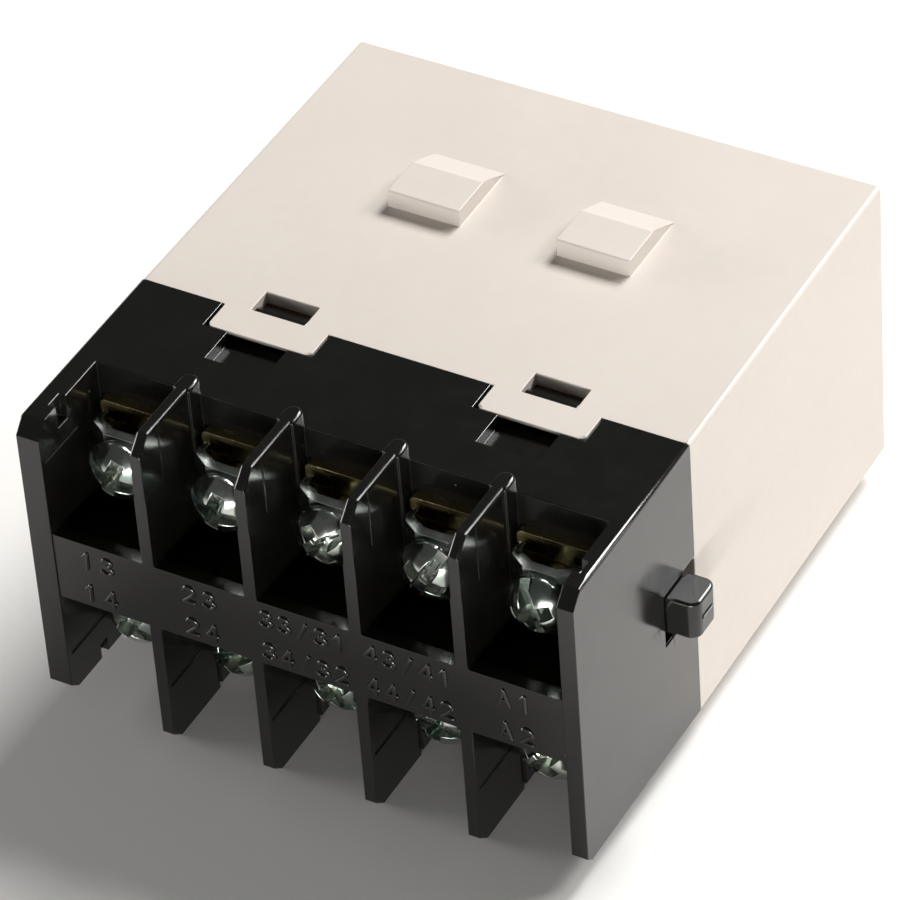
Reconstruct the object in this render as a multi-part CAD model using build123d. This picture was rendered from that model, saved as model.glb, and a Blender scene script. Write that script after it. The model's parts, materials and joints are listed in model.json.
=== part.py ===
from build123d import *
import os
from math import degrees

# Four-pole power relay with a coil column, screw terminals at the front.
# Axes: +X right along the terminal row, +Y back, +Z up. Millimetres.
# The origin is the centre of the flat back face. Distances named "from the front"
# are measured back from the plane of the front walls.

# ---- Driving dimensions -------------------------------------------------------
WIDTH = 64.0
DEPTH = 71.1
HEIGHT = 36.6
SEAM = 25.3                 # black block ends and rear cover starts, from the front
HALF_W = WIDTH / 2
HALF_H = HEIGHT / 2

# Terminal columns
COLUMN_PITCH = 12.15
COLUMN_SHIFT = 0.42         # the middle column lies this far right of the centre
COLUMN_CLEAR = 10.75        # clear width between two dividers
COLUMNS = [COLUMN_SHIFT + COLUMN_PITCH * (i - 2) for i in range(5)]
POLES = COLUMNS[:4]
COIL_COLUMN = COLUMNS[4]
ROWS = {"top": 1, "bottom": -1}

# Dividers between the columns
DIVIDER_T = COLUMN_PITCH - COLUMN_CLEAR
PILLAR_T = 2.0              # the rear end of each divider is a thicker rounded post
PILLAR_START = 9.7
DIVIDER_END = 12.3
FIN_RISE = 1.9              # dividers above the top face
FOOT_DROP = 2.6             # dividers below the bottom face
POST_FOOT_RISE = 0.8        # the post's lower end stops this much above the divider's
FIN_CHAMFER = 1.8
FIN_EDGE_R = 0.4
FOOT_CHAMFER = (1.45, 1.2)  # back, up
POST_EDGE_R = 0.95
PANEL_DEPTH = 0.08          # shallow recess on each flank, where a terminal cover would clip
PANEL_LOW = 12.8
PANEL_BACK = 3.9
GROOVE_Z = 13.2             # shallow groove along the lower part of each flank
GROOVE_HALF = 0.2
GROOVE_Y = (0.8, 8.5)

# Label strip and the web behind it
STRIP_TOP = 3.8
STRIP_BOTTOM = -4.7
STRIP_T = 1.8
WEB_T = 2.0
FACE_SET = 0.2              # strip and dividers stand this far behind the end walls

# Walls, from the front
BAY_BACK = 11.6             # rear wall of the terminal compartments
WALL_BACK = 14.8
SHELL_T = 3.1               # black shell behind the compartments
SPIGOT_INSET = 1.7          # spigot that enters the rear cover
SPIGOT_END = 28.5
SPIGOT_CORNER_R = 0.8
BARRIER_T = 1.4
BARRIER_GAP = 0.25          # round the barrier plate inside the cover

# Front edges of the end walls, as (back, down) from the corner
TOP_CHAMFER = [(0.0, 1.9), (1.6, 0.12), (3.7, 0.0)]
BOTTOM_CHAMFER = [(0.0, 1.0), (1.25, 0.0)]

# Hook notches of a terminal cover in the inner faces of the end walls
NOTCH_DEPTH = 0.8
NOTCHES = {1: ((3.7, 5.6), 2.9), -1: ((6.0, 7.3), 1.9)}     # row: distances back, height

# Rear cover
COVER_WALL = 1.6
COVER_BACK_T = 1.8
DRAFT_X = 0.57              # each side wall leans in by this much at the back
DRAFT_Z = 0.1
EDGE_R = 0.45
COVER_GAP = 0.05            # cover's outside stands this far inside the block's
COVER_INNER_R = 0.3
COVER_INNER_OVER = 0.1      # the hollow starts this far before the seam, to open it
COVER_BACK_R = 0.35

# Latch tabs of the cover, which lap over the block
TABS = [-15.75, 15.87]
TAB_W = 12.3
TAB_FRONT = 21.5
TAB_ROOT = SEAM + 0.4       # where the tab has merged with the cover
TAB_T = 1.1
TAB_LIP = 0.35              # height left of the tab's front face under the chamfer
TAB_CORNER_R = 0.8
SEAT_GAP = 0.3              # gap beside the tab in its seat
SEAT_FRONT_GAP = 0.1
WINDOW_W = 6.35
WINDOW = (25.6, 28.8)
CATCH_GAP = 0.15            # beside a catch in its window
CATCH_CREST = (25.75, 26.4)
CATCH_END = 28.4
CATCH_CREST_DROP = 0.4      # crest and low end of a catch below the top face
CATCH_END_DROP = 1.5
POCKET_W = 7.1
POCKET = (16.8, 23.4)
POCKET_DEPTH = 1.4

# Snap ramps on the cover
RAMPS = [-10.05, 10.05]
RAMP_W = 8.6
RAMP_FACE = 46.6
RAMP_CREST_END = 52.0
RAMP_END = 56.6
RAMP_RISE = 2.0
RAMP_ROOT = 0.6             # the ramp's root lies this deep in the cover
RAMP_TOE = 0.1              # height of its thin end below the top face
RAMP_EDGE_R = 0.25

# Terminals
SCREW_Z = 10.0
PLATE_FRONT = 10.5
PLATE_T = BAY_BACK - PLATE_FRONT
PLATE_W = 9.5
PLATE_TOP = 14.4
PLATE_LOW = 5.6
PLATE_WINDOW_X = 2.75
PLATE_WINDOW_W = 2.0
PLATE_WINDOW_Z = (12.05, 13.2)
PLATE_CORNER_R = 0.6
TAIL_W = 5.2
TAIL_Z = (PLATE_TOP - PLATE_T, PLATE_TOP)
ARM_FRONT = 26.0
ARM_BACK = ARM_FRONT + PLATE_T
ARM_LOW = 7.2
COIL_TAIL_END = 33.0
COIL_TAIL_GAP = 0.3         # round the coil tail in the barrier plate
CONTACT_Z = 9.2
RIVET_R = 1.0
BUTTON_R = 2.2
BUTTON_EDGE_R = 0.3
SHANK_R = 1.75
SHANK_CHAMFER = 0.4
SHANK_OVERLAP = 0.2         # the shank starts inside the head
THREAD_CLEARANCE = 0.05
BORE_CLEARANCE = 0.4        # round the screw's end in the block
HEAD_R = 3.5
HEAD_FRONT = 3.7
HEAD_DOME_R = 4.2
SLOT_HALF_W = 0.6
SLOT_DEPTH = 1.9
WING = (5.0, 1.8)           # cross recess at the head's front, length and width
WING_DEPTH = 2.3
WING_TAPER = 15
WASHER_FRONT = 6.4
WASHER_T = 1.1
WASHER_LIP_END = 9.7
WASHER_W = 8.5
WASHER_H = 7.8
WASHER_FLAT = 1.9           # half width of the flat middle; the sides bend back from here
WASHER_BEND = 1.6
LIP_T = 1.0
WASHER_CORNER_R = 0.6
SHANK_END = 13.6
SCREW_BORE_END = 14.35

# Crossbar and contacts
TRAVEL = 2.8
BAR_HALF_H = 4.4
BAR_FRONT = 15.5
BAR_WEB_T = 1.6
BRIDGE_FRONT = 20.6
BRIDGE_T = 1.0
BAR_BACK = 23.6
BAR_LEFT = -28.5
BAR_RIGHT = 17.3
WINDOW_HALF = 3.1           # half the width of a crossbar window
BAR_EDGE_R = 0.5
BOSS_R = 1.6                # bosses that centre the return springs
BOSS_H = 0.9
BRIDGE_HALF_W = 2.5
BRIDGE_HALF_H = 11.6
BRIDGE_CORNER_R = 1.2
BRIDGE_RIVET_R = 0.9
BRIDGE_BUTTON_R = 2.0
BRIDGE_BUTTON_EDGE_R = 0.25
CONTACT_SPRING = (2.0, 0.25, 4)     # coil radius, wire radius, turns
RETURN_SPRING = (2.2, 0.22, 4)
FIXED_CONTACT_FACE = 25.2
CONTACT_GAP = TRAVEL + 0.05
CROSS_TAB_END = 3.7         # the side tab stands this far out of the wall
TAB_Y = (18.65, 22.3)       # neck of the side tab, in the slot
CAP_Y = (18.65, 23.3)       # its cap, outside the wall
TAB_Z = (-1.6, 3.1)
CAP_GAP = 0.3               # between the cap and the wall
CAP_CORNER_R = 1.2
CAP_EDGE_R = 0.35
RIDGE_RISE = 0.15           # one thin grip ridge across the cap's face
RIDGE_HALF_L = 1.1
RIDGE_HALF_T = 0.12
SLOT_Y = (18.4, SEAM)
SLOT_Z = (-3.5, 3.4)

# Magnet
COIL_X = COLUMN_SHIFT
PIVOT_Y = 37.35
PIVOT_Z = -13.8
LEVER = 23.5                # pivot to the crossbar fork
OPEN_ANGLE = degrees(TRAVEL / LEVER)
ARMATURE_T = 2.2
ARMATURE_GAP = 0.08         # left between armature and pole when closed
ARMATURE_LOW = 0.6          # armature below the hinge edge
ARMATURE_CORNER_R = 1.0
ARMATURE_TOP = 10.7
ARMATURE_HALF_W = 11.5
POLE_FACE = 37.0
YOKE_T = 2.5
YOKE_BACK = 67.0
YOKE_ARM_LOW = -15.1
YOKE_HALF_W = 12.0
YOKE_TOP = 11.0
YOKE_BEND_R = 1.5
YOKE_EDGE_GAP = 0.15        # behind the hinge line
CORE_R = 5.5
CORE_STUD_R = 3.5           # riveted end of the core in the yoke
CORE_STUD_RISE = 0.6
RING_R = (5.2, 6.6)
RING_DEPTH = 1.0
SHOE_R = 8.6
SHOE_T = 1.6
FLANGE_T = 1.5
FLANGE_HALF_W = 13.0
FLANGE_HALF_H = 12.2
TUBE_T = 1.2                # wall of the bobbin's tube
WINDING_R = 11.6
TAPE_T = 0.3
PIN_R = 0.5
PIN_L = 3.6
PIN_Z = 10.5
LEAD_R = 0.4
LEAD_BEND_R = 1.2
LEAD_RUN = 3.0              # straight run of a lead before its pin
LEAF_HALF_W = 4.0           # armature spring
LEAF_T = 0.3
LEAF_Y = (33.9, 50.0)
LEAF_LIP_TOP = -12.6
ARM_X = [COIL_X - COLUMN_PITCH / 2, COIL_X + COLUMN_PITCH / 2]
ARM_HALF_W = 1.3
ARM_Z = (11.3, 13.7)
ARM_POST_END = 24.6
FORK_FRONT = (30.15, 31.55)
FORK_BACK = (34.5, 35.45)
FORK_LOW = 8.7
ARM_SLOT_HALF_W = 1.8       # openings for the arms in the barrier plate
ARM_SLOT_Z = (8.0, 14.3)

# Ribs inside the cover
RIB_X = [COIL_X - 9, COIL_X + 9]
RIB_HALF_T = 1.2
STOP_HALF_T = 1.0           # ribs that hold the barrier plate in place
STOP_END = 40.1
REST_START = 52.0           # ribs under the yoke
BACK_PAD_Z = (-12.0, 10.0)
RIB_BITE = 0.3              # ribs reach this far into the wall, to join it

OVER = 1.0                  # cutting shapes run past the faces that they open


# ---- Helpers ------------------------------------------------------------------
def behind(distance):
    """Y of a plane this far behind the front."""
    return distance - DEPTH


def block(x, y, z):
    """Box between limits; y is measured back from the front."""
    size = (x[1] - x[0], y[1] - y[0], z[1] - z[0])
    middle = ((x[0] + x[1]) / 2, behind((y[0] + y[1]) / 2), (z[0] + z[1]) / 2)
    return Pos(*middle) * Box(*size)


def around(centre, half):
    return (centre - half, centre + half)


def rod(x, z, radius, y):
    """Cylinder along Y between two distances from the front."""
    middle = (x, behind((y[0] + y[1]) / 2), z)
    return Pos(*middle) * Rot(90, 0, 0) * Cylinder(radius, y[1] - y[0])


def prism(points, x):
    """Solid with a side outline of (distance from front, z) points, between two x."""
    outline = Polyline(*[(behind(y), z) for y, z in points], close=True)
    face = make_face(outline)
    placed = Plane(origin=(x[0], 0, 0), x_dir=(0, 1, 0), z_dir=(1, 0, 0))
    return extrude(placed * face, amount=x[1] - x[0])


def flipped(shape):
    """The same shape on the other side of the mid-height plane."""
    return mirror(shape, about=Plane.XY)


def both_rows(shape):
    return [shape, flipped(shape)]


def on_row(shape, side):
    return shape if side > 0 else flipped(shape)


def ring_section(inset_x, inset_z, distance, radius):
    """Rounded rectangle across the body at a distance from the front."""
    plane = Plane(origin=(0, behind(distance), 0), x_dir=(1, 0, 0), z_dir=(0, -1, 0))
    return plane * RectangleRounded(WIDTH - 2 * inset_x, HEIGHT - 2 * inset_z, radius)


def coil_spring(x, z, y, coil_r, wire_r, turns):
    """Compression spring along Y between two distances from the front."""
    length = y[1] - y[0] - 2 * wire_r
    path = Helix(pitch=length / turns, height=length, radius=coil_r)
    profile = Plane(path @ 0, z_dir=path % 0) * Circle(wire_r)
    wire = sweep(profile, path=path)
    return Pos(x, behind(y[0] + wire_r), z) * Rot(-90, 0, 0) * wire


# ---- Terminal block -----------------------------------------------------------
def divider(x):
    top = HALF_H + FIN_RISE
    bottom = -HALF_H - FOOT_DROP
    front = FACE_SET
    post_low = bottom + POST_FOOT_RISE
    outline = [(front, top - FIN_CHAMFER), (front + FIN_CHAMFER, top), (DIVIDER_END, top),
               (DIVIDER_END, post_low), (PILLAR_START, post_low), (PILLAR_START, bottom),
               (front + FOOT_CHAMFER[0], bottom), (front, bottom + FOOT_CHAMFER[1])]
    fin = prism(outline, around(x, PILLAR_T / 2))
    for side in (-1, 1):
        flank = sorted((x + side * DIVIDER_T / 2, x + side * PILLAR_T))
        fin -= block(flank, (-OVER, PILLAR_START), (bottom - OVER, top + OVER))
    rear_edges = fin.edges().filter_by(Axis.Z).group_by(Axis.Y)[-1]
    fin = fillet(rear_edges, POST_EDGE_R)
    upper_faces = fin.faces().filter_by(lambda face: face.normal_at().Z > 0.5)
    rims = [edge for face in upper_faces for edge in face.edges()]
    return fillet(rims, FIN_EDGE_R)


def flank_marks(x):
    """Shallow recesses on both flanks of a divider."""
    cuts = []
    for side in (-1, 1):
        flank = around(x + side * DIVIDER_T / 2, PANEL_DEPTH)
        cuts.append(block(flank, (-OVER, PANEL_BACK), (PANEL_LOW, HALF_H + FIN_RISE + OVER)))
        cuts.append(block(flank, GROOVE_Y, around(-GROOVE_Z, GROOVE_HALF)))
    return cuts


def compartment(x):
    """Space of one column in front of the rear wall, both rows."""
    clear = around(x, COLUMN_CLEAR / 2)
    web = around((STRIP_TOP + STRIP_BOTTOM) / 2, WEB_T / 2)
    tall = HALF_H + OVER
    return [block(clear, (-OVER, BAY_BACK), (STRIP_TOP, tall)),
            block(clear, (-OVER, BAY_BACK), (-tall, STRIP_BOTTOM)),
            block(clear, (STRIP_T, BAY_BACK), (web[1], tall)),
            block(clear, (STRIP_T, BAY_BACK), (-tall, web[0]))]


def front_set_back():
    """Thin slice off the front between the end walls."""
    span = (COLUMNS[0] - COLUMN_CLEAR / 2, COLUMNS[4] + COLUMN_CLEAR / 2)
    return block(span, (-OVER, FACE_SET), around(0, HALF_H + OVER))


def front_corner_cuts():
    """Chamfers along the front edges of the end walls."""
    span = around(0, HALF_W + OVER)
    cuts = []
    for chamfer_line, side in ((TOP_CHAMFER, 1), (BOTTOM_CHAMFER, -1)):
        edge = [(back, HALF_H - down) for back, down in chamfer_line]
        outside = [(edge[-1][0], HALF_H + OVER), (-OVER, HALF_H + OVER), (-OVER, edge[0][1])]
        cuts.append(on_row(prism(edge + outside, span), side))
    return cuts


def end_wall_details():
    """Cover-hook notches and shallow grooves on the inner faces of the end walls."""
    left = COLUMNS[0] - COLUMN_CLEAR / 2
    right = COLUMNS[4] + COLUMN_CLEAR / 2
    cuts = []
    for face_x, outward in ((left, -1), (right, 1)):
        deep = sorted((face_x - outward * OVER / 2, face_x + outward * NOTCH_DEPTH))
        shallow = around(face_x, PANEL_DEPTH)
        for side, (span, height) in NOTCHES.items():
            cuts.append(on_row(block(deep, span, (HALF_H - height, HALF_H + OVER)), side))
        cuts += both_rows(block(shallow, GROOVE_Y, around(GROOVE_Z, GROOVE_HALF)))
    return cuts


def latch_recesses():
    """Seats for the cover's latch tabs, and the release pockets in front of them."""
    cuts = []
    for x in TABS:
        seat = block(around(x, TAB_W / 2 + SEAT_GAP), (TAB_FRONT - SEAT_FRONT_GAP, SEAM + OVER),
                     (HALF_H - TAB_T - COVER_GAP, HALF_H + OVER))
        pocket = block(around(x, POCKET_W / 2), POCKET, (HALF_H - POCKET_DEPTH, HALF_H + OVER))
        cuts += both_rows(seat + pocket)
    return cuts


def latch_wedges():
    """Catches on the spigot that the cover's windows drop over."""
    low = HALF_H - SPIGOT_INSET - OVER / 2
    crest = HALF_H - CATCH_CREST_DROP
    outline = [(CATCH_CREST[0], low), (CATCH_CREST[0], crest), (CATCH_CREST[1], crest),
               (CATCH_END, HALF_H - CATCH_END_DROP), (CATCH_END, low)]
    wedges = []
    for x in TABS:
        wedges += both_rows(prism(outline, around(x, WINDOW_W / 2 - CATCH_GAP)))
    return wedges


def terminal_holes():
    """Slots for the terminal tails and clearance bores for the screw ends."""
    cuts = []
    for x in COLUMNS:
        slot = block(around(x, TAIL_W / 2), (BAY_BACK - OVER, WALL_BACK + OVER), TAIL_Z)
        bore = rod(x, SCREW_Z, SHANK_R + BORE_CLEARANCE, (BAY_BACK - OVER, SCREW_BORE_END))
        cuts += both_rows(slot) + both_rows(bore)
    return cuts


def terminal_block():
    body = block((-HALF_W, HALF_W), (0, SEAM), (-HALF_H, HALF_H))
    body = fillet(body.edges().filter_by(Axis.Y), EDGE_R)
    spigot_start = SEAM - OVER
    spigot = ring_section(SPIGOT_INSET, SPIGOT_INSET, spigot_start, SPIGOT_CORNER_R)
    body += extrude(spigot, amount=spigot_start - SPIGOT_END)
    body -= block(around(0, HALF_W - SHELL_T), (WALL_BACK, SPIGOT_END + OVER), around(0, HALF_H - SHELL_T))
    body -= front_corner_cuts()
    for x in COLUMNS:
        body -= compartment(x)
    body -= front_set_back()
    body -= end_wall_details()
    body -= latch_recesses()
    body -= terminal_holes()
    body -= block((HALF_W - SHELL_T - OVER, HALF_W + OVER), SLOT_Y, SLOT_Z)
    for left, right in zip(COLUMNS, COLUMNS[1:]):
        middle = (left + right) / 2
        body += divider(middle)
        body -= flank_marks(middle)
    body += latch_wedges()
    return body


# ---- Rear cover ---------------------------------------------------------------
def cover_shell():
    outer = loft([ring_section(COVER_GAP, COVER_GAP, SEAM, EDGE_R), ring_section(DRAFT_X, DRAFT_Z, DEPTH, EDGE_R)])
    outer = fillet(outer.faces().sort_by(Axis.Y)[-1].edges(), COVER_BACK_R)
    wall = COVER_WALL
    inner = loft([ring_section(wall, wall, SEAM - COVER_INNER_OVER, COVER_INNER_R),
                  ring_section(wall + DRAFT_X, wall + DRAFT_Z, DEPTH - COVER_BACK_T, COVER_INNER_R)])
    return outer - inner


def snap_ramp(x, side):
    """Ramp that clicks into a mounting bracket; the steep face looks to the front."""
    rise = RAMP_RISE if side > 0 else FOOT_DROP
    root = HALF_H - RAMP_ROOT
    crest = HALF_H + rise
    ramp = prism([(RAMP_FACE, root), (RAMP_FACE, crest), (RAMP_CREST_END, crest), (RAMP_END, HALF_H - RAMP_TOE),
                  (RAMP_END, root)], around(x, RAMP_W / 2))
    ramp = fillet(ramp.edges().filter_by(Axis.X).group_by(Axis.Z)[-1], RAMP_EDGE_R)
    return on_row(ramp, side)


def latch_tab(x):
    low = HALF_H - TAB_T
    top = HALF_H - COVER_GAP
    lip = top - TAB_LIP
    tab = prism([(TAB_FRONT, top), (TAB_ROOT, top), (TAB_ROOT, low),
                 (TAB_FRONT + lip - low, low), (TAB_FRONT, lip)], around(x, TAB_W / 2))
    front_corners = tab.edges().filter_by(Axis.Z).group_by(Axis.Y)[0]
    return fillet(front_corners, TAB_CORNER_R)


def cover_ribs():
    """Pads and ribs inside the cover that locate the magnet and the barrier."""
    back = (YOKE_BACK, DEPTH - COVER_BACK_T + RIB_BITE)
    under_yoke = (-HALF_H + COVER_WALL - RIB_BITE, YOKE_ARM_LOW)
    above_flange = (FLANGE_HALF_H, HALF_H - COVER_WALL + RIB_BITE)
    stop = (SPIGOT_END + BARRIER_T, STOP_END)
    ribs = []
    for x in RIB_X:
        ribs.append(block(around(x, RIB_HALF_T), back, BACK_PAD_Z))
        ribs.append(block(around(x, RIB_HALF_T), (REST_START, YOKE_BACK + OVER), under_yoke))
        ribs.append(block(around(x, STOP_HALF_T), stop, above_flange))
    for side in (-1, 1):
        inner = sorted((side * (HALF_W - COVER_WALL + RIB_BITE), side * (HALF_W - SHELL_T)))
        ribs.append(block(inner, stop, around(0, STOP_HALF_T)))
    return ribs


def rear_cover():
    body = cover_shell()
    for x in TABS:
        body += both_rows(latch_tab(x))
    for x in TABS:
        hole = block(around(x, WINDOW_W / 2), WINDOW, (HALF_H - COVER_WALL - OVER, HALF_H + OVER))
        body -= both_rows(hole)
    for x in RAMPS:
        for side in ROWS.values():
            body += snap_ramp(x, side)
    body += cover_ribs()
    return body


def barrier_plate():
    """Insulating plate between the contacts and the magnet."""
    inset = COVER_WALL + BARRIER_GAP
    end = SPIGOT_END + BARRIER_T
    through = (SPIGOT_END - OVER, end + OVER)
    plate = block(around(0, HALF_W - inset), (SPIGOT_END, end), around(0, HALF_H - inset))
    for x in ARM_X:
        plate -= block(around(x, ARM_SLOT_HALF_W), through, ARM_SLOT_Z)
    tail_hole = block(around(COIL_COLUMN, TAIL_W / 2 + COIL_TAIL_GAP), through,
                      (TAIL_Z[0] - COIL_TAIL_GAP, TAIL_Z[1] + COIL_TAIL_GAP))
    plate -= both_rows(tail_hole)
    for x in (POLES[1], POLES[3]):
        plate += rod(x, 0, BOSS_R, (SPIGOT_END - BOSS_H, SPIGOT_END + BARRIER_T / 2))
    return plate


# ---- Terminals and fixed contacts ---------------------------------------------
def terminal_plate(x):
    """Plate with two windows below its top edge."""
    plate = block(around(x, PLATE_W / 2), (PLATE_FRONT, BAY_BACK), (PLATE_LOW, PLATE_TOP))
    plate = fillet(plate.edges().filter_by(Axis.Y), PLATE_CORNER_R)
    for side in (-1, 1):
        centre = x + side * PLATE_WINDOW_X
        plate -= block(around(centre, PLATE_WINDOW_W / 2), (PLATE_FRONT - OVER, BAY_BACK + OVER), PLATE_WINDOW_Z)
    return plate


def fixed_contact(x, side):
    """Stamped strip: terminal plate, tail through the wall and contact arm."""
    strip = terminal_plate(x)
    strip += block(around(x, TAIL_W / 2), (PLATE_FRONT, ARM_BACK), TAIL_Z)
    strip += block(around(x, TAIL_W / 2), (ARM_FRONT, ARM_BACK), (ARM_LOW, PLATE_TOP))
    strip -= rod(x, SCREW_Z, SHANK_R + THREAD_CLEARANCE, (PLATE_FRONT - OVER, BAY_BACK + OVER))
    strip -= rod(x, CONTACT_Z, RIVET_R, (ARM_FRONT - OVER, ARM_BACK + OVER))
    return on_row(strip, side)


def coil_terminal(side):
    """Terminal plate of the coil column, with a long tail to the winding."""
    strip = terminal_plate(COIL_COLUMN)
    strip += block(around(COIL_COLUMN, TAIL_W / 2), (PLATE_FRONT, COIL_TAIL_END), TAIL_Z)
    strip -= rod(COIL_COLUMN, SCREW_Z, SHANK_R + THREAD_CLEARANCE, (PLATE_FRONT - OVER, BAY_BACK + OVER))
    return on_row(strip, side)


def fixed_contact_rivets():
    rivets = []
    for x in POLES:
        button = rod(x, CONTACT_Z, BUTTON_R, (FIXED_CONTACT_FACE, ARM_FRONT))
        button = fillet(button.edges().group_by(Axis.Y)[0], BUTTON_EDGE_R)
        rivets += both_rows(button + rod(x, CONTACT_Z, RIVET_R, (ARM_FRONT, ARM_BACK)))
    return rivets


def saddle_washer(x, side):
    """Clamp washer: a flat middle, bent-back sides, and lips that keep the wire under the screw."""
    half_w = WASHER_W / 2
    lip_in = half_w - LIP_T
    bend_end = WASHER_FRONT + WASHER_BEND
    right = [(WASHER_FLAT, WASHER_FRONT), (half_w, bend_end), (half_w, WASHER_LIP_END), (lip_in, WASHER_LIP_END),
             (lip_in, bend_end + WASHER_T / 2), (WASHER_FLAT - WASHER_T / 2, WASHER_FRONT + WASHER_T)]
    left = [(-px, py) for px, py in reversed(right)]
    outline = Polyline(*[(x + px, behind(py)) for px, py in right + left], close=True)
    washer = extrude(Pos(0, 0, SCREW_Z - WASHER_H / 2) * make_face(outline), amount=WASHER_H)
    corners = washer.edges().filter_by(Axis.Y).group_by(Axis.X)
    washer = fillet(corners[0] + corners[-1], WASHER_CORNER_R)
    washer -= rod(x, SCREW_Z, SHANK_R + THREAD_CLEARANCE, (WASHER_FRONT - OVER, WASHER_LIP_END + OVER))
    return on_row(washer, side)


def recess_wing(turn):
    """One tapered wing of the cross recess."""
    mouth = Plane(origin=(0, behind(HEAD_FRONT), 0), x_dir=(1, 0, 0), z_dir=(0, 1, 0))
    wing = extrude(mouth * Rectangle(*WING), amount=WING_DEPTH, taper=WING_TAPER)
    return Rot(0, turn, 0) * wing


def terminal_screw(x, side, slot_angle):
    """Domed pan-head screw with a combined slot and cross recess."""
    dome = Pos(0, behind(HEAD_FRONT + HEAD_DOME_R), 0) * Sphere(HEAD_DOME_R)
    screw = rod(0, 0, HEAD_R, (HEAD_FRONT, WASHER_FRONT)) & dome
    slot = (HEAD_FRONT - OVER, HEAD_FRONT + SLOT_DEPTH)
    screw -= block(around(0, HEAD_R + OVER), slot, around(0, SLOT_HALF_W))
    screw -= [recess_wing(0), recess_wing(90)]
    shank = rod(0, 0, SHANK_R, (WASHER_FRONT - SHANK_OVERLAP, SHANK_END))
    screw += chamfer(shank.edges().group_by(Axis.Y)[-1], SHANK_CHAMFER)
    turned = Rot(0, slot_angle, 0) * screw
    return Pos(x, 0, side * SCREW_Z) * turned


# ---- Crossbar and moving contacts ---------------------------------------------
def crossbar_arm(x):
    """Arm that reaches back and straddles the armature's free edge."""
    x_span = around(x, ARM_HALF_W)
    start = BRIDGE_FRONT + BRIDGE_T
    arm = block(x_span, (start, ARM_POST_END), (BAR_HALF_H - BAR_EDGE_R, ARM_Z[1]))
    arm += block(x_span, (start, FORK_BACK[1]), ARM_Z)
    for finger in (FORK_FRONT, FORK_BACK):
        arm += block(x_span, finger, (FORK_LOW, ARM_Z[1]))
    return arm


def side_tab():
    """Neck through the side slot, and the cap outside it that serves as a hand test button."""
    neck = block((BAR_RIGHT - OVER, HALF_W + CAP_GAP + OVER / 2), TAB_Y, TAB_Z)
    face_x = HALF_W + CROSS_TAB_END - RIDGE_RISE
    cap = block((HALF_W + CAP_GAP, face_x), CAP_Y, TAB_Z)
    outer_corners = cap.edges().filter_by(Axis.Z).group_by(Axis.X)[-1]
    cap = fillet(outer_corners, CAP_CORNER_R)
    rims = [face.edges() for face in (cap.faces().sort_by(Axis.Z)[0], cap.faces().sort_by(Axis.Z)[-1])]
    round_rims = [edge for edges in rims for edge in edges if edge.center().X > HALF_W + 2 * CAP_GAP]
    cap = fillet(round_rims, CAP_EDGE_R)
    ridge = block((face_x - RIDGE_RISE, HALF_W + CROSS_TAB_END), around(sum(CAP_Y) / 2, RIDGE_HALF_L),
                  around(sum(TAB_Z) / 2, RIDGE_HALF_T))
    return neck + cap + ridge


def crossbar():
    bar = block((BAR_LEFT, BAR_RIGHT), (BAR_FRONT, BAR_BACK), around(0, BAR_HALF_H))
    bar = fillet(bar.edges().filter_by(Axis.X), BAR_EDGE_R)
    for x in POLES:
        bar -= block(around(x, WINDOW_HALF), (BAR_FRONT + BAR_WEB_T, BRIDGE_FRONT + BRIDGE_T),
                     around(0, BAR_HALF_H + OVER))
    for x in ARM_X:
        bar += crossbar_arm(x)
    for x in (POLES[1], POLES[3]):
        bar += rod(x, 0, BOSS_R, (BAR_BACK - BOSS_H, BAR_BACK + BOSS_H))
    return bar + side_tab()


def contact_bridge(x):
    depth = (BRIDGE_FRONT, BRIDGE_FRONT + BRIDGE_T)
    bridge = block(around(x, BRIDGE_HALF_W), depth, around(0, BRIDGE_HALF_H))
    bridge = fillet(bridge.edges().filter_by(Axis.Y), BRIDGE_CORNER_R)
    for z in (-CONTACT_Z, CONTACT_Z):
        bridge -= rod(x, z, BRIDGE_RIVET_R, (depth[0] - OVER, depth[1] + OVER))
    return bridge


def bridge_rivets():
    face = FIXED_CONTACT_FACE - CONTACT_GAP
    rivets = []
    for x in POLES:
        button = rod(x, CONTACT_Z, BRIDGE_BUTTON_R, (BRIDGE_FRONT + BRIDGE_T, face))
        button = fillet(button.edges().group_by(Axis.Y)[-1], BRIDGE_BUTTON_EDGE_R)
        button += rod(x, CONTACT_Z, BRIDGE_RIVET_R, (BRIDGE_FRONT, BRIDGE_FRONT + BRIDGE_T))
        rivets += both_rows(button)
    return rivets


def contact_springs():
    return [coil_spring(x, 0, (BAR_FRONT + BAR_WEB_T, BRIDGE_FRONT), *CONTACT_SPRING) for x in POLES]


def return_spring(x):
    return coil_spring(x, 0, (BAR_BACK, SPIGOT_END), *RETURN_SPRING)


# ---- Magnet -------------------------------------------------------------------
def yoke():
    x_span = around(COIL_X, YOKE_HALF_W)
    arm = block(x_span, (PIVOT_Y + YOKE_EDGE_GAP, YOKE_BACK), (YOKE_ARM_LOW, YOKE_ARM_LOW + YOKE_T))
    back = block(x_span, (YOKE_BACK - YOKE_T, YOKE_BACK), (YOKE_ARM_LOW, YOKE_TOP))
    body = arm + back
    body = fillet(body.edges().filter_by(Axis.X).group_by(Axis.Z)[0].sort_by(Axis.Y)[-1:], YOKE_BEND_R)
    return body - rod(COIL_X, 0, CORE_STUD_R, (YOKE_BACK - YOKE_T - OVER, YOKE_BACK + OVER))


def core():
    body = rod(COIL_X, 0, CORE_R, (POLE_FACE + SHOE_T, YOKE_BACK - YOKE_T))
    body += rod(COIL_X, 0, SHOE_R, (POLE_FACE, POLE_FACE + SHOE_T))
    body += rod(COIL_X, 0, CORE_STUD_R, (YOKE_BACK - YOKE_T, YOKE_BACK + CORE_STUD_RISE))
    return body - pole_ring(POLE_FACE - OVER)


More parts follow.
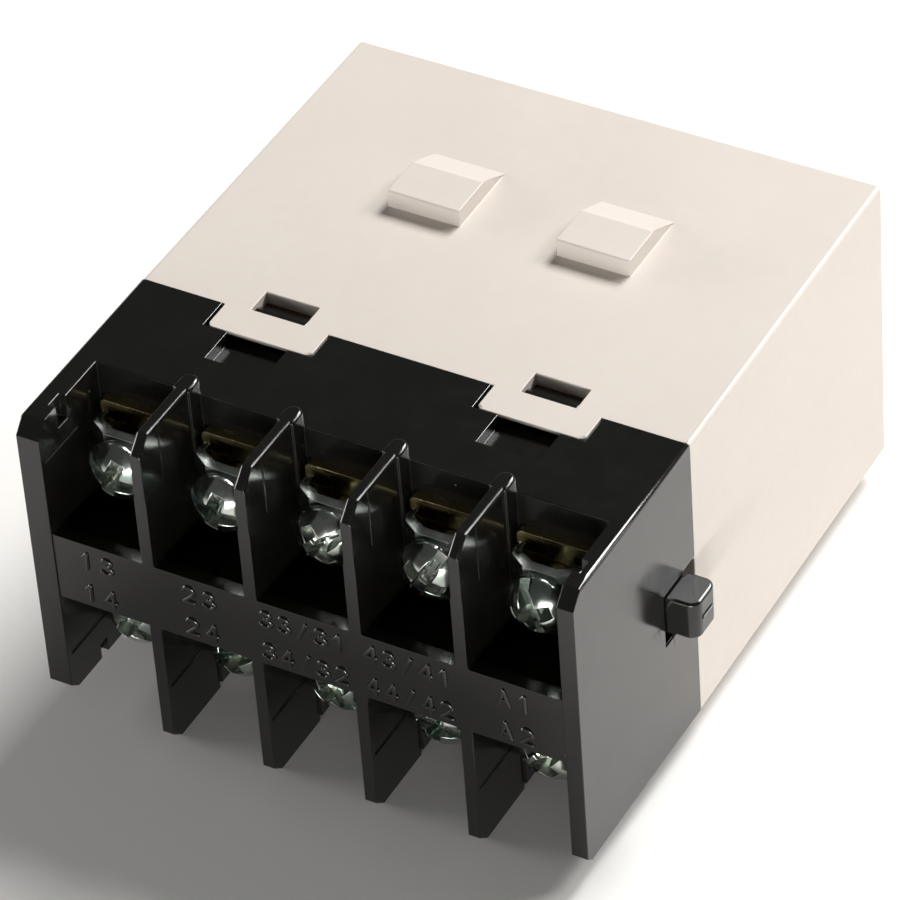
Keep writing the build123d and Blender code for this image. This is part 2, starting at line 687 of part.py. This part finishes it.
def pole_ring(start):
    """Ring from this distance to the bottom of the groove in the pole face."""
    end = POLE_FACE + RING_DEPTH
    return rod(COIL_X, 0, RING_R[1], (start, end)) - rod(COIL_X, 0, RING_R[0], (start - OVER, end + OVER))


def shading_ring():
    """Copper ring set in the pole face, which keeps an alternating-current coil quiet."""
    return pole_ring(POLE_FACE)


def coil_bobbin():
    front = POLE_FACE + SHOE_T
    rear = YOKE_BACK - YOKE_T
    body = rod(COIL_X, 0, CORE_R + TUBE_T, (front, rear))
    for start in (front, rear - FLANGE_T):
        body += block(around(COIL_X, FLANGE_HALF_W), (start, start + FLANGE_T), around(0, FLANGE_HALF_H))
    return body - rod(COIL_X, 0, CORE_R, (front - OVER, rear + OVER))


def winding_span():
    return (POLE_FACE + SHOE_T + FLANGE_T, YOKE_BACK - YOKE_T - FLANGE_T)


def coil_winding():
    start, end = winding_span()
    tube = rod(COIL_X, 0, CORE_R + TUBE_T, (start - OVER, end + OVER))
    return rod(COIL_X, 0, WINDING_R, (start, end)) - tube


def coil_tape():
    start, end = winding_span()
    winding = rod(COIL_X, 0, WINDING_R, (start - OVER, end + OVER))
    return rod(COIL_X, 0, WINDING_R + TAPE_T, (start, end)) - winding


def pin_y():
    """Y of the pins, in the middle of the bobbin's front flange."""
    return behind(POLE_FACE + SHOE_T + FLANGE_T / 2)


def coil_pins():
    """Two pins on the bobbin's front flange, where the winding ends are tied."""
    middle = COIL_X + FLANGE_HALF_W + PIN_L / 2
    return [Pos(middle, pin_y(), z) * Rot(0, 90, 0) * Cylinder(PIN_R, PIN_L) for z in (-PIN_Z, PIN_Z)]


def coil_leads():
    """Wires from the coil terminals to the pins."""
    pin_end = COIL_X + FLANGE_HALF_W + PIN_L
    tail_z = sum(TAIL_Z) / 2
    route = FilletPolyline((COIL_COLUMN, behind(COIL_TAIL_END), tail_z), (COIL_COLUMN, pin_y(), tail_z),
                           (pin_end + LEAD_RUN, pin_y(), PIN_Z), (pin_end, pin_y(), PIN_Z), radius=LEAD_BEND_R)
    wire = sweep(Plane(route @ 0, z_dir=route % 0) * Circle(LEAD_R), path=route)
    return both_rows(wire)


def armature():
    """Clapper plate, closed against the pole face and then swung open."""
    back = POLE_FACE - ARMATURE_GAP
    height = (PIVOT_Z - ARMATURE_LOW, ARMATURE_TOP)
    plate = block(around(COIL_X, ARMATURE_HALF_W), (back - ARMATURE_T, back), height)
    plate = fillet(plate.edges().filter_by(Axis.Y), ARMATURE_CORNER_R)
    hinge = Axis((0, behind(PIVOT_Y), PIVOT_Z), (1, 0, 0))
    return plate.rotate(hinge, OPEN_ANGLE)


def armature_spring():
    """Thin leaf under the yoke whose front lip keeps the armature on its edge."""
    x_span = around(COIL_X, LEAF_HALF_W)
    low = YOKE_ARM_LOW - LEAF_T
    leaf = block(x_span, LEAF_Y, (low, YOKE_ARM_LOW))
    return leaf + block(x_span, (LEAF_Y[0], LEAF_Y[0] + LEAF_T), (low, LEAF_LIP_TOP))


# ---- Export -------------------------------------------------------------------
SLOT_ANGLES = {"top": [20, 15, -35, -60, 70], "bottom": [35, -20, 50, 10, -40]}


def nodes():
    parts = {
        "terminal_block": terminal_block(),
        "rear_cover": rear_cover(),
        "barrier_plate": barrier_plate(),
        "coil_bobbin": coil_bobbin(),
        "coil_winding": coil_winding(),
        "coil_tape": coil_tape(),
        "coil_pins": coil_pins(),
        "coil_leads": coil_leads(),
        "core": core(),
        "shading_ring": shading_ring(),
        "yoke": yoke(),
        "armature": armature(),
        "armature_spring": armature_spring(),
        "fixed_contact_rivets": fixed_contact_rivets(),
        "crossbar": crossbar(),
        "bridge_rivets": bridge_rivets(),
        "contact_springs": contact_springs(),
        "return_spring_left": return_spring(POLES[1]),
        "return_spring_right": return_spring(POLES[3]),
    }
    for i, x in enumerate(POLES, 1):
        parts[f"contact_bridge_{i}"] = contact_bridge(x)
    for row, side in ROWS.items():
        parts[f"coil_terminal_{row}"] = coil_terminal(side)
        for i, x in enumerate(POLES, 1):
            parts[f"fixed_contact_{row}_{i}"] = fixed_contact(x, side)
        for i, x in enumerate(COLUMNS, 1):
            parts[f"saddle_washer_{row}_{i}"] = saddle_washer(x, side)
            parts[f"terminal_screw_{row}_{i}"] = terminal_screw(x, side, SLOT_ANGLES[row][i - 1])
    return parts


os.makedirs("parts", exist_ok=True)
for name, shape in nodes().items():
    solids = shape if isinstance(shape, list) else [shape]
    children = [solid for item in solids for solid in item.solids()]
    model = children[0] if len(children) == 1 else Compound(children=children)
    export_step(model, f"parts/{name}.step")
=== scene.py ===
"""Four-pole screw-terminal relay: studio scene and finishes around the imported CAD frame."""

import json
import math

import bmesh
import bpy
from mathutils import Matrix, Vector


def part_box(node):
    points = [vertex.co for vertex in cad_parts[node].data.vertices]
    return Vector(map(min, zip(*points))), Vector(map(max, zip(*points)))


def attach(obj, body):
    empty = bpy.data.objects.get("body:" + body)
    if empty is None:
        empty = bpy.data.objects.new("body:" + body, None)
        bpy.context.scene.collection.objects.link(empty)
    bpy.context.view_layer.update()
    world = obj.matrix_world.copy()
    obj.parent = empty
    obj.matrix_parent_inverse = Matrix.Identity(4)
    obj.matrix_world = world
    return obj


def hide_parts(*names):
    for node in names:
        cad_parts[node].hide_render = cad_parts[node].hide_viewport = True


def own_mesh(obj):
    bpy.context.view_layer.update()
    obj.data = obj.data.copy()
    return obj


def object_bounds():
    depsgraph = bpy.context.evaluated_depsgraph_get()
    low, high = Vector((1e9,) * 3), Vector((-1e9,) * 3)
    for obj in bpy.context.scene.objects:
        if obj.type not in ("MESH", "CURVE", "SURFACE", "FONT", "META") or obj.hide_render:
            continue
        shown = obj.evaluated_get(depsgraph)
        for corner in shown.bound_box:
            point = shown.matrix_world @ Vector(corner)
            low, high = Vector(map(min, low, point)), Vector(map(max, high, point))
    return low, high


MM = 0.001

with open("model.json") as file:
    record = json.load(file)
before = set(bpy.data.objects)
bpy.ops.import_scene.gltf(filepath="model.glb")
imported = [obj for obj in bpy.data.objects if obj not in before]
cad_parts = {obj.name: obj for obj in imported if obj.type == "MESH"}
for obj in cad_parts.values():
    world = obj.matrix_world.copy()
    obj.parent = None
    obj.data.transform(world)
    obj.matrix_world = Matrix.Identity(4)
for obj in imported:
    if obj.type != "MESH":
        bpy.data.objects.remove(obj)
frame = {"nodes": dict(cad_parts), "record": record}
cad_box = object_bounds()
NODES = frame["nodes"]


# ---- Node helpers ---------------------------------------------------------------
MIX_FIRST = 6                     # the Mix node's two colour inputs and its colour output
MIX_SECOND = 7
MIX_RESULT = 2
NOISE_ROUGHNESS = 0.55


class Graph:
    """A small builder for one material's node tree."""

    def __init__(self, name):
        self.material = bpy.data.materials.new(name)
        self.material.use_nodes = True
        self.tree = self.material.node_tree
        self.tree.nodes.clear()
        self.shader = self.add("ShaderNodeBsdfPrincipled")
        output = self.add("ShaderNodeOutputMaterial")
        self.link(self.shader.outputs["BSDF"], output.inputs["Surface"])
        self.place = self.add("ShaderNodeNewGeometry").outputs["Position"]

    def add(self, kind, **settings):
        node = self.tree.nodes.new(kind)
        for key, value in settings.items():
            setattr(node, key, value)
        return node

    def link(self, source, target):
        self.tree.links.new(source, target)

    def put(self, socket, value):
        """Link a socket to another one, or give it a plain value."""
        if isinstance(value, bpy.types.NodeSocket):
            self.link(value, socket)
        else:
            socket.default_value = value

    def noise(self, scale, detail=4.0, stretch=None):
        """Noise with so many features a metre, squeezed along each axis by stretch."""
        node = self.add("ShaderNodeTexNoise")
        node.inputs["Scale"].default_value = scale
        node.inputs["Detail"].default_value = detail
        node.inputs["Roughness"].default_value = NOISE_ROUGHNESS
        self.link(self.stretched(stretch), node.inputs["Vector"])
        return node.outputs["Fac"]

    def stretched(self, stretch):
        if stretch is None:
            return self.place
        mapping = self.add("ShaderNodeMapping")
        mapping.inputs["Scale"].default_value = stretch
        self.link(self.place, mapping.inputs["Vector"])
        return mapping.outputs["Vector"]

    def cells(self, scale):
        """Distance to the nearest of many scattered points."""
        node = self.add("ShaderNodeTexVoronoi")
        node.inputs["Scale"].default_value = scale
        self.link(self.place, node.inputs["Vector"])
        return node.outputs["Distance"]

    def bands(self, scale, distortion):
        """Wavy bands that follow each other along Y."""
        node = self.add("ShaderNodeTexWave", wave_type="BANDS", bands_direction="Y")
        node.inputs["Scale"].default_value = scale
        node.inputs["Distortion"].default_value = distortion
        self.link(self.place, node.inputs["Vector"])
        return node.outputs["Fac"]

    def fit(self, value, span, target):
        """Map a value from one span to another, clamped at both ends."""
        node = self.add("ShaderNodeMapRange")
        node.inputs["From Min"].default_value = span[0]
        node.inputs["From Max"].default_value = span[1]
        node.inputs["To Min"].default_value = target[0]
        node.inputs["To Max"].default_value = target[1]
        self.link(value, node.inputs["Value"])
        return node.outputs["Result"]

    def mix(self, factor, first, second):
        node = self.add("ShaderNodeMix", data_type="RGBA")
        self.put(node.inputs["Factor"], factor)
        self.put(node.inputs[MIX_FIRST], first)
        self.put(node.inputs[MIX_SECOND], second)
        return node.outputs[MIX_RESULT]

    def product(self, first, second):
        node = self.add("ShaderNodeMath", operation="MULTIPLY")
        self.put(node.inputs[0], first)
        self.put(node.inputs[1], second)
        return node.outputs["Value"]

    def bump(self, height, strength, distance, before=None):
        """Bump of a height in metres, on top of an earlier bump if there is one."""
        node = self.add("ShaderNodeBump")
        node.inputs["Strength"].default_value = strength
        node.inputs["Distance"].default_value = distance
        self.link(height, node.inputs["Height"])
        if before is not None:
            self.link(before, node.inputs["Normal"])
        return node.outputs["Normal"]

    def set(self, **sockets):
        for key, value in sockets.items():
            self.put(self.shader.inputs[key.replace("_", " ")], value)
        return self.material


# ---- Finishes -------------------------------------------------------------------
NONE_TO_ALL = (0.0, 1.0)
ALL_TO_NONE = (1.0, 0.0)
NOISE_SPAN = (0.3, 0.7)           # where nearly all of a noise lies

BLACK_TONES = ((0.0042, 0.0042, 0.0035, 1), (0.0068, 0.0065, 0.0054, 1))
DUST_TONE = (0.20, 0.19, 0.17, 1)
BEIGE_TONES = ((0.590, 0.533, 0.480, 1), (0.612, 0.555, 0.502, 1))
BRASS_TONES = ((0.66, 0.53, 0.28, 1), (0.42, 0.34, 0.17, 1))
# Copper at the crown of each turn, and a darker tone that is painted shade in the grooves between turns.
COPPER_AND_GROOVE_SHADE_TONES = ((0.40, 0.15, 0.06, 1), (0.78, 0.36, 0.17, 1))
TAPE_TONES = ((0.62, 0.42, 0.06, 1), (0.78, 0.56, 0.12, 1))
BOARD_TONES = ((0.19, 0.085, 0.035, 1), (0.33, 0.17, 0.08, 1))
BOBBIN_TONES = ((0.70, 0.68, 0.62, 1), (0.80, 0.79, 0.75, 1))
FLOOR_TONES = ((0.885, 0.865, 0.835, 1), (0.905, 0.885, 0.855, 1))

# Two tones, the range of the roughness, and the tone of the passivated patches, if any.
PLATED_STEELS = {
    "tinned_pin": ((0.62, 0.62, 0.60, 1), (0.78, 0.78, 0.76, 1), (0.22, 0.34), None),
    "magnet_steel": ((0.42, 0.42, 0.44, 1), (0.58, 0.58, 0.60, 1), (0.28, 0.42), None),
    "spring_steel": ((0.52, 0.52, 0.52, 1), (0.68, 0.68, 0.68, 1), (0.16, 0.26), None),
    "contact_silver": ((0.80, 0.80, 0.78, 1), (0.92, 0.92, 0.90, 1), (0.12, 0.22), None),
    "zinc_steel": ((0.40, 0.43, 0.39, 1), (0.64, 0.66, 0.61, 1), (0.12, 0.24), (0.27, 0.34, 0.30, 1)),
}


def black_plastic():
    """Glossy black moulding: fine grain, faint flow waves and sparse dust."""
    g = Graph("black_plastic")
    flow = g.noise(scale=90.0, detail=3.0)
    grain = g.noise(scale=6500.0, detail=2.0)
    specks = g.fit(g.cells(scale=420.0), (0.035, 0.06), ALL_TO_NONE)
    sparse = g.fit(g.noise(scale=260.0, detail=1.0), (0.62, 0.66), NONE_TO_ALL)
    colour = g.mix(g.product(specks, sparse), g.mix(flow, *BLACK_TONES), DUST_TONE)
    rough = g.fit(g.noise(scale=300.0), NOISE_SPAN, (0.12, 0.20))
    grained = g.bump(grain, strength=0.10, distance=0.00004)
    normal = g.bump(flow, strength=0.06, distance=0.0006, before=grained)
    return g.set(Base_Color=colour, Roughness=rough, IOR=1.56, Normal=normal)


def beige_plastic():
    """Satin beige moulding with fine grain and a hardly visible change of tone."""
    g = Graph("beige_plastic")
    colour = g.mix(g.fit(g.noise(scale=45.0), NOISE_SPAN, NONE_TO_ALL), *BEIGE_TONES)
    rough = g.fit(g.noise(scale=700.0, detail=3.0), NOISE_SPAN, (0.40, 0.50))
    normal = g.bump(g.noise(scale=5200.0, detail=3.0), strength=0.12, distance=0.00005)
    return g.set(Base_Color=colour, Roughness=rough, IOR=1.5, Normal=normal)


def plated_steel(name, low, high, rough_span, tint):
    """Plated metal with cloudy tones, and patches of a tint if there is one."""
    g = Graph(name)
    colour = g.mix(g.fit(g.noise(scale=420.0, detail=3.0), (0.35, 0.65), NONE_TO_ALL), low, high)
    if tint is not None:
        patches = g.fit(g.noise(scale=260.0, detail=2.0), (0.45, 0.62), (0.0, 0.75))
        colour = g.mix(patches, colour, tint)
    rough = g.fit(g.noise(scale=900.0), NOISE_SPAN, rough_span)
    normal = g.bump(g.noise(scale=1800.0, detail=3.0), strength=0.10, distance=0.00006)
    return g.set(Base_Color=colour, Metallic=1.0, Roughness=rough, Normal=normal)


def brass():
    """Brass with darker, duller tarnish and fine lines from rolling."""
    g = Graph("brass")
    tarnish = g.fit(g.noise(scale=240.0, detail=5.0), (0.4, 0.68), NONE_TO_ALL)
    rough = g.fit(tarnish, NONE_TO_ALL, (0.20, 0.38))
    lines = g.noise(scale=1500.0, detail=3.0, stretch=(1.0, 1.0, 6.0))
    normal = g.bump(lines, strength=0.12, distance=0.00005)
    return g.set(Base_Color=g.mix(tarnish, *BRASS_TONES), Metallic=1.0, Roughness=rough, Normal=normal)


def copper_wire():
    """Wound enamelled wire: one band for each turn, darker in the groove between turns as painted shade.
    """
    g = Graph("copper_wire")
    turns = g.bands(scale=1300.0, distortion=0.6)
    rough = g.fit(turns, NONE_TO_ALL, (0.32, 0.22))
    normal = g.bump(turns, strength=0.6, distance=0.0001)
    # The colour follows the bump: the dark tone is painted shade in the grooves, the light tone is the
    # copper.
    return g.set(Base_Color=g.mix(turns, *COPPER_AND_GROOVE_SHADE_TONES), Metallic=1.0, Roughness=rough, Normal=normal)


def coil_tape():
    """Amber tape in overlapping wraps."""
    g = Graph("coil_tape")
    wraps = g.bands(scale=60.0, distortion=1.0)
    rough = g.fit(g.noise(scale=500.0), NOISE_SPAN, (0.14, 0.24))
    normal = g.bump(wraps, strength=0.3, distance=0.0001)
    return g.set(Base_Color=g.mix(wraps, *TAPE_TONES), Roughness=rough, Normal=normal)


def insulating_board():
    """Brown pressed board with fibres."""
    g = Graph("insulating_board")
    fibres = g.noise(scale=1200.0, detail=5.0, stretch=(1.0, 1.0, 5.0))
    rough = g.fit(fibres, NOISE_SPAN, (0.45, 0.65))
    normal = g.bump(fibres, strength=0.25, distance=0.0001)
    return g.set(Base_Color=g.mix(fibres, *BOARD_TONES), Roughness=rough, Normal=normal)


def bobbin_plastic():
    """Off-white moulding of the coil's bobbin."""
    g = Graph("bobbin_plastic")
    colour = g.mix(g.noise(scale=160.0, detail=3.0), *BOBBIN_TONES)
    rough = g.fit(g.noise(scale=800.0), NOISE_SPAN, (0.32, 0.45))
    normal = g.bump(g.noise(scale=5000.0, detail=2.0), strength=0.1, distance=0.00005)
    return g.set(Base_Color=colour, Roughness=rough, Normal=normal)


def floor_paint():
    """Pale matt floor with broad, faint clouds."""
    g = Graph("floor")
    rough = g.fit(g.noise(scale=30.0), NONE_TO_ALL, (0.6, 0.8))
    return g.set(Base_Color=g.mix(g.noise(scale=3.0), *FLOOR_TONES), Roughness=rough)


FINISHES = {
    "black_plastic": black_plastic(),
    "beige_plastic": beige_plastic(),
    "insulating_board": insulating_board(),
    "bobbin_plastic": bobbin_plastic(),
    "coil_tape": coil_tape(),
    "copper_wire": copper_wire(),
    "brass": brass(),
    **{name: plated_steel(name, *settings) for name, settings in PLATED_STEELS.items()},
}


def paint_nodes():
    """Give every CAD node the finish that the record names for it."""
    for row in frame["record"]["subparts"]:
        node = NODES[row["node"]]
        node.data.materials.clear()
        node.data.materials.append(FINISHES[row["material_slot"]])


# ---- Edge rounding --------------------------------------------------------------
EDGE_WIDTHS = {"black_plastic": 0.09, "beige_plastic": 0.12, "zinc_steel": 0.06, "brass": 0.06,
               "magnet_steel": 0.08, "insulating_board": 0.05, "bobbin_plastic": 0.08}    # mm
EDGE_SEGMENTS = 2
EDGE_ANGLE = math.radians(35)     # edges that turn by more than this are rounded
WELD_DISTANCE = 1e-6              # metres


def round_edges(node, width):
    weld = node.modifiers.new("weld", "WELD")
    weld.merge_threshold = WELD_DISTANCE
    bevel = node.modifiers.new("edges", "BEVEL")
    bevel.width = width * MM
    bevel.segments = EDGE_SEGMENTS
    bevel.limit_method = "ANGLE"
    bevel.angle_limit = EDGE_ANGLE
    bevel.harden_normals = True
    bevel.use_clamp_overlap = False


def soften_edges():
    for row in frame["record"]["subparts"]:
        width = EDGE_WIDTHS.get(row["material_slot"])
        if width:
            round_edges(NODES[row["node"]], width)


# ---- Studio ---------------------------------------------------------------------
CAMERA_AZIMUTH = math.radians(31.476)
CAMERA_ELEVATION = math.radians(40.471)
CAMERA_ROLL = math.radians(4.458)
CAMERA_DISTANCE = 0.61238         # metres
CAMERA_AIM = Vector((-1.39, -37.06, -1.21)) * MM
CAMERA_LENS = 232.74              # mm
CAMERA_CLIP = (0.05, 20.0)        # nearest and farthest distance seen, metres
FLOOR_HALF = 3.0                  # metres from the middle of the floor to its sides
WHITE = (1, 1, 1, 1)
WORLD_STRENGTH = 0.08
LIGHT_AIM = Vector((0, -0.035, 0))
# Azimuth and elevation in degrees, distance and size in metres, power in watts. The first two
# light the top and the right side, and the low ones the front and the edges that face left.
LIGHTS = {
    "back": (168, 45, 0.9, (0.34, 0.3), 10.2),
    "right": (136, 36, 0.9, (0.27, 0.27), 3.7),
    "front": (22, 3, 1.0, (0.5, 0.1), 8.2),
    "left": (-80, 9, 0.9, (0.6, 0.28), 4.6),
}


def towards(azimuth, elevation):
    """Unit vector from the object; azimuth 0 is the front and 90 degrees the right."""
    return Vector((math.sin(azimuth) * math.cos(elevation), -math.cos(azimuth) * math.cos(elevation),
                   math.sin(elevation)))


def add_camera():
    data = bpy.data.cameras.new("camera")
    data.lens = CAMERA_LENS
    data.clip_start, data.clip_end = CAMERA_CLIP
    camera = bpy.data.objects.new("camera", data)
    bpy.context.scene.collection.objects.link(camera)
    back = towards(CAMERA_AZIMUTH, CAMERA_ELEVATION)
    level = (-back).to_track_quat("-Z", "Y").to_matrix().to_4x4()
    roll = Matrix.Rotation(-CAMERA_ROLL, 4, "Z")
    camera.matrix_world = Matrix.Translation(CAMERA_AIM + back * CAMERA_DISTANCE) @ level @ roll
    bpy.context.scene.camera = camera


def add_floor():
    """A pale plane at the height of the object's lowest point."""
    low = cad_box[0].z
    signs = ((-1, -1), (1, -1), (1, 1), (-1, 1))
    mesh = bpy.data.meshes.new("floor")
    mesh.from_pydata([(x * FLOOR_HALF, y * FLOOR_HALF, low) for x, y in signs], [], [(0, 1, 2, 3)])
    floor = bpy.data.objects.new("floor", mesh)
    bpy.context.scene.collection.objects.link(floor)
    mesh.materials.append(floor_paint())


def add_light(name, azimuth, elevation, distance, size, power):
    data = bpy.data.lights.new(name, "AREA")
    data.shape = "RECTANGLE"
    data.size, data.size_y = size
    data.energy = power
    light = bpy.data.objects.new(name, data)
    bpy.context.scene.collection.objects.link(light)
    direction = towards(math.radians(azimuth), math.radians(elevation))
    light.matrix_world = (Matrix.Translation(LIGHT_AIM + direction * distance)
                          @ direction.to_track_quat("Z", "Y").to_matrix().to_4x4())


def add_studio():
    world = bpy.data.worlds.new("world")
    world.use_nodes = True
    background = world.node_tree.nodes["Background"]
    background.inputs["Color"].default_value = WHITE
    background.inputs["Strength"].default_value = WORLD_STRENGTH
    bpy.context.scene.world = world
    bpy.context.scene.view_settings.view_transform = "Standard"
    for name, settings in LIGHTS.items():
        add_light(name, *settings)


# ---- Raised terminal numbers ----------------------------------------------------
GLYPH_SIZE = (1.2, 1.95)          # width and height between stroke centres, mm
STROKE_R = 0.25                   # half the width of a stroke, mm
STROKE_RISE = 0.24                # how far a stroke stands out of the strip, mm
STROKE_SIDES = 12
CAP_STEPS = (90, 65, 40, 20)      # degrees round the end of a stroke, from its tip
FACE_BEHIND_FRONT = 0.2           # the strip's face lies this far behind the end walls, mm
# Height of each row's middle, in mm, and its labels from left to right.
LABEL_ROWS = {1.6: ("13", "23", "33/31", "43/41", "A1"), -2.8: ("14", "24", "34/32", "44/42", "A2")}
SHORT_LABEL = 2                   # glyphs in a short label
SHORT_PITCH = 2.4                 # between the glyphs of a short label, mm
LONG_PITCH = 2.12                 # between those of a longer label, mm
LABEL_SHIFT = -0.2                # from the column's middle, mm
ARC_STEPS = 14
COLUMNS = 5


def arc(centre, radii, start, end):
    """Points along an ellipse's arc, angles in degrees from the right, anticlockwise."""
    angles = [math.radians(start + (end - start) * i / ARC_STEPS) for i in range(ARC_STEPS + 1)]
    return [(centre[0] + radii[0] * math.cos(a), centre[1] + radii[1] * math.sin(a)) for a in angles]


# Each glyph's strokes, as points in shares of its width and height.
GLYPHS = {
    "1": [[(0.12, 0.78), (0.5, 1.0)], [(0.5, 1.0), (0.5, 0.0)]],
    "2": [arc((0.5, 0.70), (0.5, 0.30), 160, -38) + [(0.0, 0.0)], [(0.0, 0.0), (1.0, 0.0)]],
    "3": [arc((0.46, 0.76), (0.44, 0.24), 150, -90), arc((0.46, 0.26), (0.54, 0.26), 90, -150)],
    "4": [[(0.75, 0.0), (0.75, 1.0)], [(0.75, 1.0), (0.0, 0.32)], [(0.0, 0.32), (1.0, 0.32)]],
    "/": [[(0.1, -0.04), (0.9, 1.04)]],
    "A": [[(0.0, 0.0), (0.5, 1.0)], [(0.5, 1.0), (1.0, 0.0)], [(0.2, 0.34), (0.8, 0.34)]],
}


def cap_station(point, outwards, way, degrees):
    """A station on a stroke's rounded end, that many degrees from where the end starts."""
    turn = math.radians(degrees)
    return point + outwards * STROKE_R * math.sin(turn), way, math.cos(turn)


def stroke_stations(path):
    """Centre, direction and share of the full width along a stroke with rounded ends."""
    points = [Vector(p) for p in path]
    last = len(points) - 1
    ways = [(points[min(i + 1, last)] - points[max(i - 1, 0)]).normalized() for i in range(last + 1)]
    head = [cap_station(points[0], -ways[0], ways[0], degrees) for degrees in CAP_STEPS]
    tail = [cap_station(points[last], ways[last], ways[last], degrees) for degrees in reversed(CAP_STEPS)]
    return head + [(point, way, 1.0) for point, way in zip(points, ways)] + tail


def add_stroke(bm, path, face_y):
    """Rounded ridge along a path on the strip's face; x and z in mm from the origin."""
    rings = []
    for centre, way, share in stroke_stations(path):
        across = Vector((way.y, -way.x))
        ring = []
        for k in range(STROKE_SIDES):
            turn = 2 * math.pi * k / STROKE_SIDES
            flat = centre + across * STROKE_R * share * math.cos(turn)
            depth = STROKE_RISE * share * math.sin(turn)
            ring.append(bm.verts.new(Vector((flat.x, face_y - depth, flat.y)) * MM))
        rings.append(ring)
    bridge_rings(bm, rings)


# ---- Mesh helpers ---------------------------------------------------------------
MERGE_DISTANCE = 1e-7             # metres


def bridge_rings(bm, rings):
    """Four-sided faces between rings that have as many points as each other."""
    for near, far in zip(rings, rings[1:]):
        for k in range(len(near)):
            follow = (k + 1) % len(near)
            bm.faces.new((near[k], near[follow], far[follow], far[k]))


def new_piece(name, bm, body, slot):
    """Smooth object from a mesh; a ring shrunk to one place becomes a single point."""
    bmesh.ops.remove_doubles(bm, verts=bm.verts, dist=MERGE_DISTANCE)
    bmesh.ops.recalc_face_normals(bm, faces=bm.faces)
    mesh = bpy.data.meshes.new(name)
    bm.to_mesh(mesh)
    bm.free()
    for polygon in mesh.polygons:
        polygon.use_smooth = True
    mesh.materials.append(FINISHES[slot])
    piece = bpy.data.objects.new(name, mesh)
    bpy.context.scene.collection.objects.link(piece)
    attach(piece, body)
    return piece


def column_centres():
    """X of the five terminal columns, in mm, from the screws."""
    spans = [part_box(f"terminal_screw_top_{i}") for i in range(1, COLUMNS + 1)]
    return [(low.x + high.x) / 2 / MM for low, high in spans]


def add_label(bm, text, middle, row_z, face_y):
    """One terminal's number, its glyphs spread about the middle of the column."""
    pitch = SHORT_PITCH if len(text) == SHORT_LABEL else LONG_PITCH
    for place, character in enumerate(text):
        glyph_x = middle + (place - (len(text) - 1) / 2) * pitch
        for stroke in GLYPHS[character]:
            path = [(glyph_x + (u - 0.5) * GLYPH_SIZE[0], row_z + (v - 0.5) * GLYPH_SIZE[1])
                    for u, v in stroke]
            add_stroke(bm, path, face_y)


def add_terminal_numbers():
    face_y = cad_box[0].y / MM + FACE_BEHIND_FRONT
    centres = column_centres()
    for row, (row_z, labels) in enumerate(LABEL_ROWS.items(), 1):
        for column, (centre, text) in enumerate(zip(centres, labels), 1):
            bm = bmesh.new()
            add_label(bm, text, centre + LABEL_SHIFT, row_z, face_y)
            new_piece(f"terminal_number_{row}_{column}", bm, "housing", "black_plastic")


# ---- Return springs -------------------------------------------------------------
SPRING_TURNS = 5.5
SPRING_END_TURNS = 0.9            # closed turn at each end
SPRING_END_RISE = 0.09            # share of the free length that a closed end takes up
SPRING_STEPS = 24                 # rings for each turn
SPRING_WIRE_R = 0.22              # mm
SPRING_SIDES = 10


def spring_rise(share):
    """Share of the free length reached at a share of the turns; the ends stay closed."""
    closed = SPRING_END_TURNS / SPRING_TURNS
    if share < closed:
        return SPRING_END_RISE * share / closed
    if share > 1 - closed:
        return 1 - SPRING_END_RISE * (1 - share) / closed
    return SPRING_END_RISE + (1 - 2 * SPRING_END_RISE) * (share - closed) / (1 - 2 * closed)


def wire_ring(bm, point, out, wire):
    """Ring of points round the wire, in the plane of the spring's axis and the outward way."""
    along = Vector((0, 1, 0))
    turns = [2 * math.pi * k / SPRING_SIDES for k in range(SPRING_SIDES)]
    return [bm.verts.new(point + wire * (out * math.cos(a) + along * math.sin(a))) for a in turns]


def add_return_spring(node):
    """Coil spring with closed ends, in place of the CAD spring, which is hidden."""
    low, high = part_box(node)
    centre = (low + high) / 2
    wire = SPRING_WIRE_R * MM
    coil_r = (high.x - low.x) / 2 - wire
    length = high.y - low.y - 2 * wire
    count = int(SPRING_TURNS * SPRING_STEPS)
    rings = []
    bm = bmesh.new()
    for i in range(count + 1):
        turn = 2 * math.pi * i / SPRING_STEPS
        out = Vector((math.cos(turn), 0, math.sin(turn)))
        middle = Vector((centre.x, low.y + wire + length * spring_rise(i / count), centre.z))
        rings.append(wire_ring(bm, middle + out * coil_r, out, wire))
    bridge_rings(bm, rings)
    bm.faces.new(rings[0])
    bm.faces.new(list(reversed(rings[-1])))
    piece = new_piece(f"{node}_coil", bm, "housing", "spring_steel")
    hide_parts(node)
    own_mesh(piece)


# ---- Build ----------------------------------------------------------------------
add_camera()
add_floor()
add_studio()
paint_nodes()
soften_edges()
add_terminal_numbers()
add_return_spring("return_spring_left")
add_return_spring("return_spring_right")
